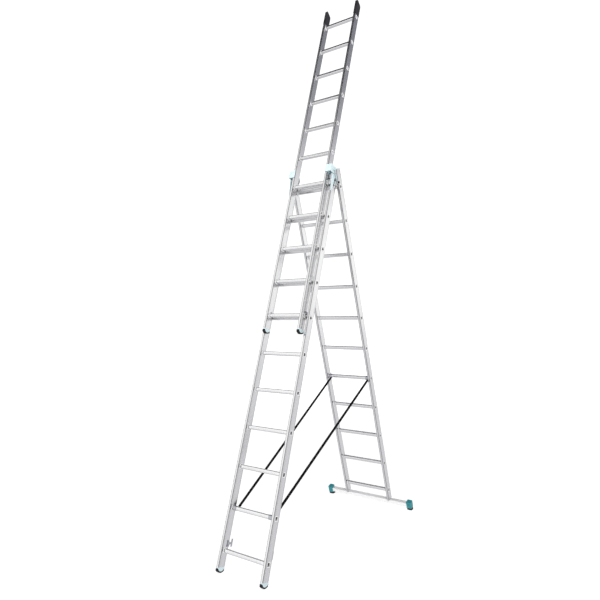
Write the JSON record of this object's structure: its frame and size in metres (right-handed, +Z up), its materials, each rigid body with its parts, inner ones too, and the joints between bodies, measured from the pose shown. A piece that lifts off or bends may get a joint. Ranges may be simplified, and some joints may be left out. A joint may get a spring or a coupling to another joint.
{
  "type": "combination ladder",
  "caption": "Aluminium sectional ladder standing as a stepladder on a stabiliser bar, its narrow top section raised and hooked on, legs held by straps.",
  "frame": {"origin": "on the floor under the middle of the ladder's box", "axes": "+X along the rungs to the right seen from the front, +Y from the front section to the rear section, +Z up"},
  "size_m": [0.872, 1.9394, 4.6052],
  "materials": {
    "stile_aluminium": "extruded, satin, fine lengthwise lines",
    "rung_aluminium": "extruded, ribbed, slightly brighter than the stiles",
    "bar_aluminium": "extruded, satin",
    "teal_plastic": "moulded, satin",
    "black_plastic": "moulded, fine grain",
    "black_rubber": "matte, worn treads",
    "zinc_steel": "zinc plated",
    "black_steel": "blackened",
    "webbing": "woven polyester"
  },
  "bodies": {
    "front_section": {"buffer_left": "black_rubber", "buffer_right": "black_rubber", "catch_left": "zinc_steel", "catch_right": "zinc_steel", "catch_rivets": "zinc_steel", "front_foot_plug_left": "teal_plastic", "front_foot_plug_right": "teal_plastic", "front_rung_01": "rung_aluminium", "front_rung_02": "rung_aluminium", "front_rung_03": "rung_aluminium", "front_rung_04": "rung_aluminium", "front_rung_05": "rung_aluminium", "front_rung_06": "rung_aluminium", "front_rung_07": "rung_aluminium", "front_rung_08": "rung_aluminium", "front_rung_09": "rung_aluminium", "front_rung_10": "rung_aluminium", "front_rung_11": "rung_aluminium", "front_sole_left": "black_rubber", "front_sole_right": "black_rubber", "front_stile_left": "stile_aluminium", "front_stile_right": "stile_aluminium", "guide_bolts": "black_steel", "guide_head_left": "teal_plastic", "guide_head_right": "teal_plastic", "guide_plate_left": "zinc_steel", "guide_plate_right": "zinc_steel", "strap_clips_front": "zinc_steel", "strap_left": "webbing", "strap_right": "webbing"},
    "rear_section": {"end_block_left": "teal_plastic", "end_block_right": "teal_plastic", "hinge_bolts": "black_steel", "hinge_bushes": "teal_plastic", "pad_left": "black_rubber", "pad_right": "black_rubber", "rear_cap_left": "teal_plastic", "rear_cap_right": "teal_plastic", "rear_foot_plug_left": "teal_plastic", "rear_foot_plug_right": "teal_plastic", "rear_rungs_lower": "rung_aluminium", "rear_rungs_upper": "rung_aluminium", "rear_stile_left": "stile_aluminium", "rear_stile_right": "stile_aluminium", "stabiliser_bar": "bar_aluminium", "stabiliser_bolts": "zinc_steel", "strap_clips_rear": "zinc_steel"},
    "top_section": {"hook_rivets": "zinc_steel", "top_cap_left": "black_plastic", "top_cap_right": "black_plastic", "top_foot_plug_left": "teal_plastic", "top_foot_plug_right": "teal_plastic", "top_rungs_lower": "rung_aluminium", "top_rungs_upper": "rung_aluminium", "top_sole_left": "black_rubber", "top_sole_right": "black_rubber", "top_stile_left": "stile_aluminium", "top_stile_right": "stile_aluminium"},
    "hook_left": {"hook_left": "zinc_steel"},
    "hook_right": {"hook_right": "zinc_steel"}
  },
  "joints": [
    {"name": "rear_fold", "type": "hinge", "parent": "front_section", "child": "rear_section", "pos_m": [0, -0.03166, 2.83932], "axis": [1, 0, 0], "range_deg": [-35.8, 0], "deforming": ["strap_left", "strap_right"]},
    {"name": "top_slide", "type": "slide", "parent": "front_section", "child": "top_section", "axis": [0, 0.2982, 0.9545], "range_m": [-1.68, 0.56]},
    {"name": "hook_swing_left", "type": "hinge", "parent": "top_section", "child": "hook_left", "pos_m": [0, -0.4266, 1.78304], "axis": [1, 0, 0], "range_deg": [0, 120]},
    {"name": "hook_swing_right", "type": "hinge", "parent": "top_section", "child": "hook_right", "pos_m": [0, -0.4266, 1.78304], "axis": [1, 0, 0], "range_deg": [0, 120]}
  ]
}
